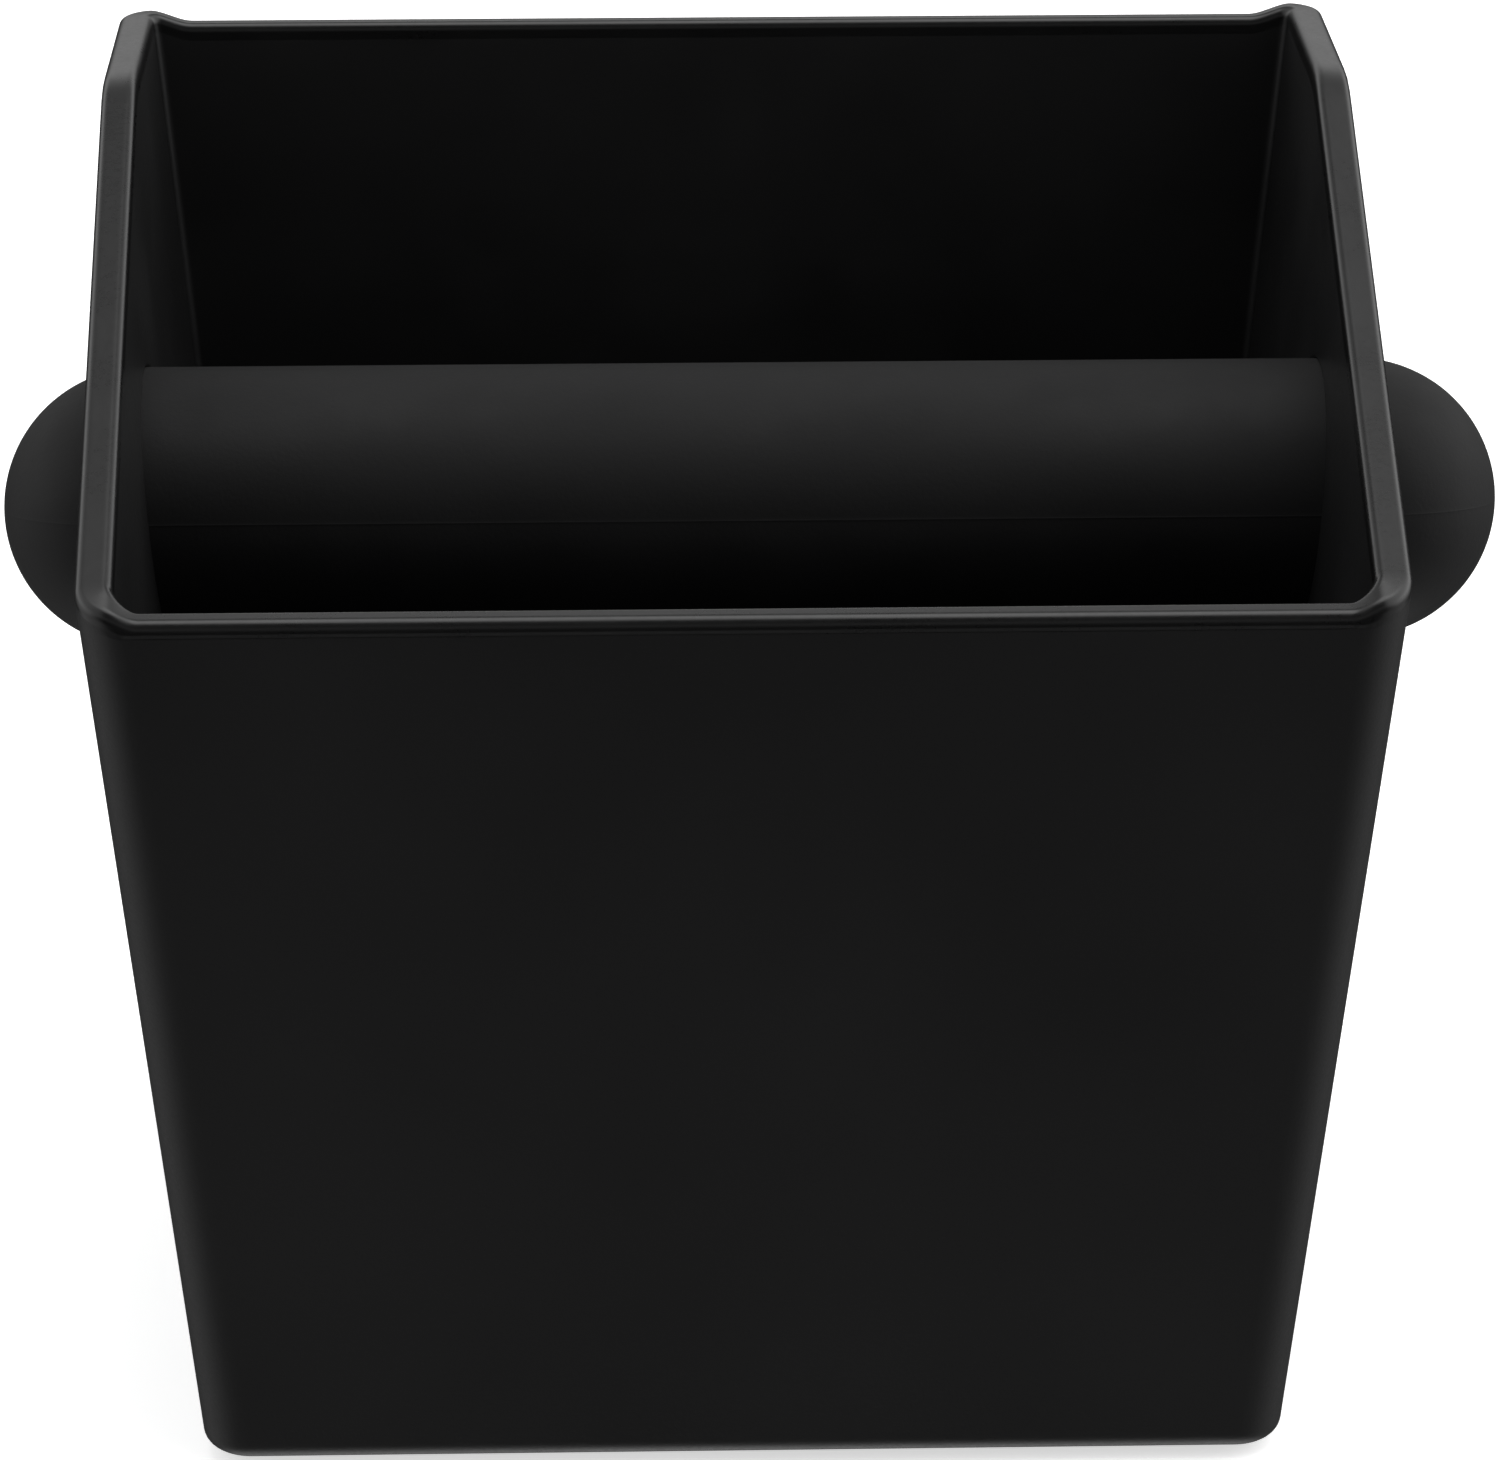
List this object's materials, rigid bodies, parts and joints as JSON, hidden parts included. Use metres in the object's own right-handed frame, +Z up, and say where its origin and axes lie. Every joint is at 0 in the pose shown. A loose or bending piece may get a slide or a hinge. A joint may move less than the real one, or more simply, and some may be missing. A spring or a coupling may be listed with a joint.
{
  "type": "espresso knock box",
  "caption": "Open tapered plastic tub with a low front, sloping side rims and a high back, crossed by a thick round-ended rubber knock bar that slides out sideways.",
  "frame": {"origin": "on the table under the middle of the tub's base, in the plane of the feet", "axes": "+X along the knock bar to the right seen from the front, +Y towards the high back, +Z up"},
  "size_m": [0.165, 0.1225, 0.1328],
  "materials": {
    "shell_plastic": "satin black moulded ABS, fine-grained outside, smoother inside and on the rim",
    "bar_rubber": "matte black rubber with a fine mould parting line",
    "core_steel": "plain drawn steel rod",
    "foot_rubber": "matte black rubber"
  },
  "bodies": {
    "tub": {"bin_shell": "shell_plastic", "foot_front_left": "foot_rubber", "foot_front_right": "foot_rubber", "foot_rear_left": "foot_rubber", "foot_rear_right": "foot_rubber"},
    "core": {"bar_core": "core_steel"},
    "bar": {"bar_sleeve": "bar_rubber"}
  },
  "joints": [
    {"name": "bar_slide", "type": "slide", "parent": "tub", "child": "core", "axis": [1, 0, 0], "range_m": [-0.154, 0.15]},
    {"name": "bar_spin", "type": "hinge", "parent": "core", "child": "bar", "pos_m": [0.002, 0, 0.0928], "axis": [1, 0, 0], "continuous": true}
  ]
}
